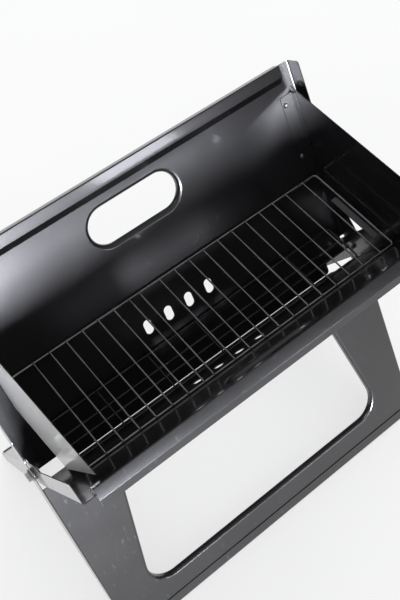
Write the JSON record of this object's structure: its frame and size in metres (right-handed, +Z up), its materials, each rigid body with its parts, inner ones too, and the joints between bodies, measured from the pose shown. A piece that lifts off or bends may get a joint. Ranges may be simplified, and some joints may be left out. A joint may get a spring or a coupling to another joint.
{
  "type": "folding camp grill",
  "caption": "Portable charcoal grill of two crossed sheet panels on a pivot, with wire cooking and charcoal grates, end panels and hand slots; folds flat.",
  "frame": {"origin": "centre of the footprint on the floor, grill open and standing", "axes": "+X along the long side, -Y to the front, +Z up"},
  "size_m": [0.4722, 0.2998, 0.4263],
  "materials": {
    "black_enamel": "gloss black enamel",
    "chromed_wire": "bright chrome plating",
    "plated_steel": "zinc plated"
  },
  "bodies": {
    "outer_frame": {"outer_panel": "black_enamel", "end_guide_left": "black_enamel", "end_guide_right": "black_enamel", "guide_rivet_lower_left": "plated_steel", "guide_rivet_upper_left": "plated_steel", "guide_rivet_lower_right": "plated_steel", "guide_rivet_upper_right": "plated_steel", "pivot_bolt_left": "plated_steel", "pivot_washer_left": "plated_steel", "pivot_spacer_left": "plated_steel", "pivot_nut_left": "plated_steel", "pivot_bolt_right": "plated_steel", "pivot_washer_right": "plated_steel", "pivot_spacer_right": "plated_steel", "pivot_nut_right": "plated_steel"},
    "inner_frame": {"inner_panel": "black_enamel"},
    "cooking_rack": {"cooking_grate": "chromed_wire"},
    "charcoal_rack": {"charcoal_grate": "chromed_wire"},
    "left_end": {"end_panel_left": "black_enamel"},
    "right_end": {"end_panel_right": "black_enamel"}
  },
  "joints": [
    {"name": "frame_fold", "type": "hinge", "parent": "outer_frame", "child": "inner_frame", "pos_m": [0, 0, 0.22028], "axis": [1, 0, 0], "range_deg": [-62, 0]},
    {"name": "cooking_grate_fold", "type": "hinge", "parent": "outer_frame", "child": "cooking_rack", "pos_m": [0, 0.0625, 0.30178], "axis": [1, 0, 0], "range_deg": [-118, 0]},
    {"name": "charcoal_grate_fold", "type": "hinge", "parent": "outer_frame", "child": "charcoal_rack", "pos_m": [0, 0.02615, 0.24128], "axis": [1, 0, 0], "range_deg": [-118, 0]},
    {"name": "end_panel_left_lift", "type": "slide", "parent": "outer_frame", "child": "left_end", "axis": [0, 0.515, 0.8572], "range_m": [0, 0.375]},
    {"name": "end_panel_right_lift", "type": "slide", "parent": "outer_frame", "child": "right_end", "axis": [0, 0.515, 0.8572], "range_m": [0, 0.375]}
  ],
  "couplings": [
    {"joint": "cooking_grate_fold", "follows": "frame_fold", "ratio": 1.9032},
    {"joint": "charcoal_grate_fold", "follows": "frame_fold", "ratio": 1.9032},
    {"joint": "end_panel_left_lift", "follows": "frame_fold", "m_per_rad": -0.345},
    {"joint": "end_panel_right_lift", "follows": "frame_fold", "m_per_rad": -0.345}
  ]
}
